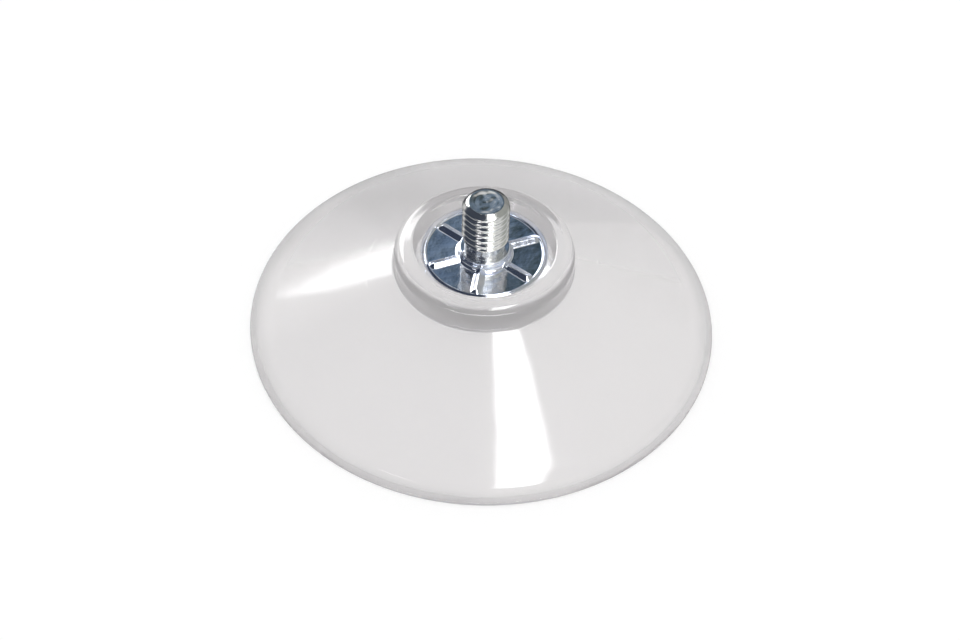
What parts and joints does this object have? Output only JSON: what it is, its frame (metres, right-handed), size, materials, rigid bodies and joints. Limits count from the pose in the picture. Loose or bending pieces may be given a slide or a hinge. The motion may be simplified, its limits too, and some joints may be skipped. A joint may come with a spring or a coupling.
{
  "type": "suction cup",
  "caption": "Clear shallow suction cup with a round boss that holds a ribbed metal insert and an upright threaded stud; the bell flattens when pressed.",
  "frame": {"origin": "centre of the sealing rim, on the surface the cup rests on", "axes": "+Z is the cup's axis, from the sealing rim towards the free end of the stud; the first rib of the insert is 23 degrees from +X"},
  "size_m": [0.08, 0.08, 0.0292],
  "materials": {
    "clear_pvc": "clear soft PVC, polished mould surface",
    "plated_insert": "bright plated zinc casting",
    "plated_stud": "bright zinc plated rolled thread"
  },
  "bodies": {
    "bell": {"cup_bell": "clear_pvc"},
    "boss": {"cup_boss": "clear_pvc"},
    "insert": {"insert_plate": "plated_insert", "threaded_stud": "plated_stud"}
  },
  "joints": [
    {"name": "boss_press", "type": "slide", "parent": "bell", "child": "boss", "axis": [0, 0, 1], "range_m": [-0.006, 0], "stiffness_N_per_m": 8000, "deforming": ["cup_bell"]},
    {"name": "insert_turn", "type": "hinge", "parent": "boss", "child": "insert", "pos_m": [0, 0, 0.0165], "axis": [0, 0, 1], "continuous": true}
  ]
}
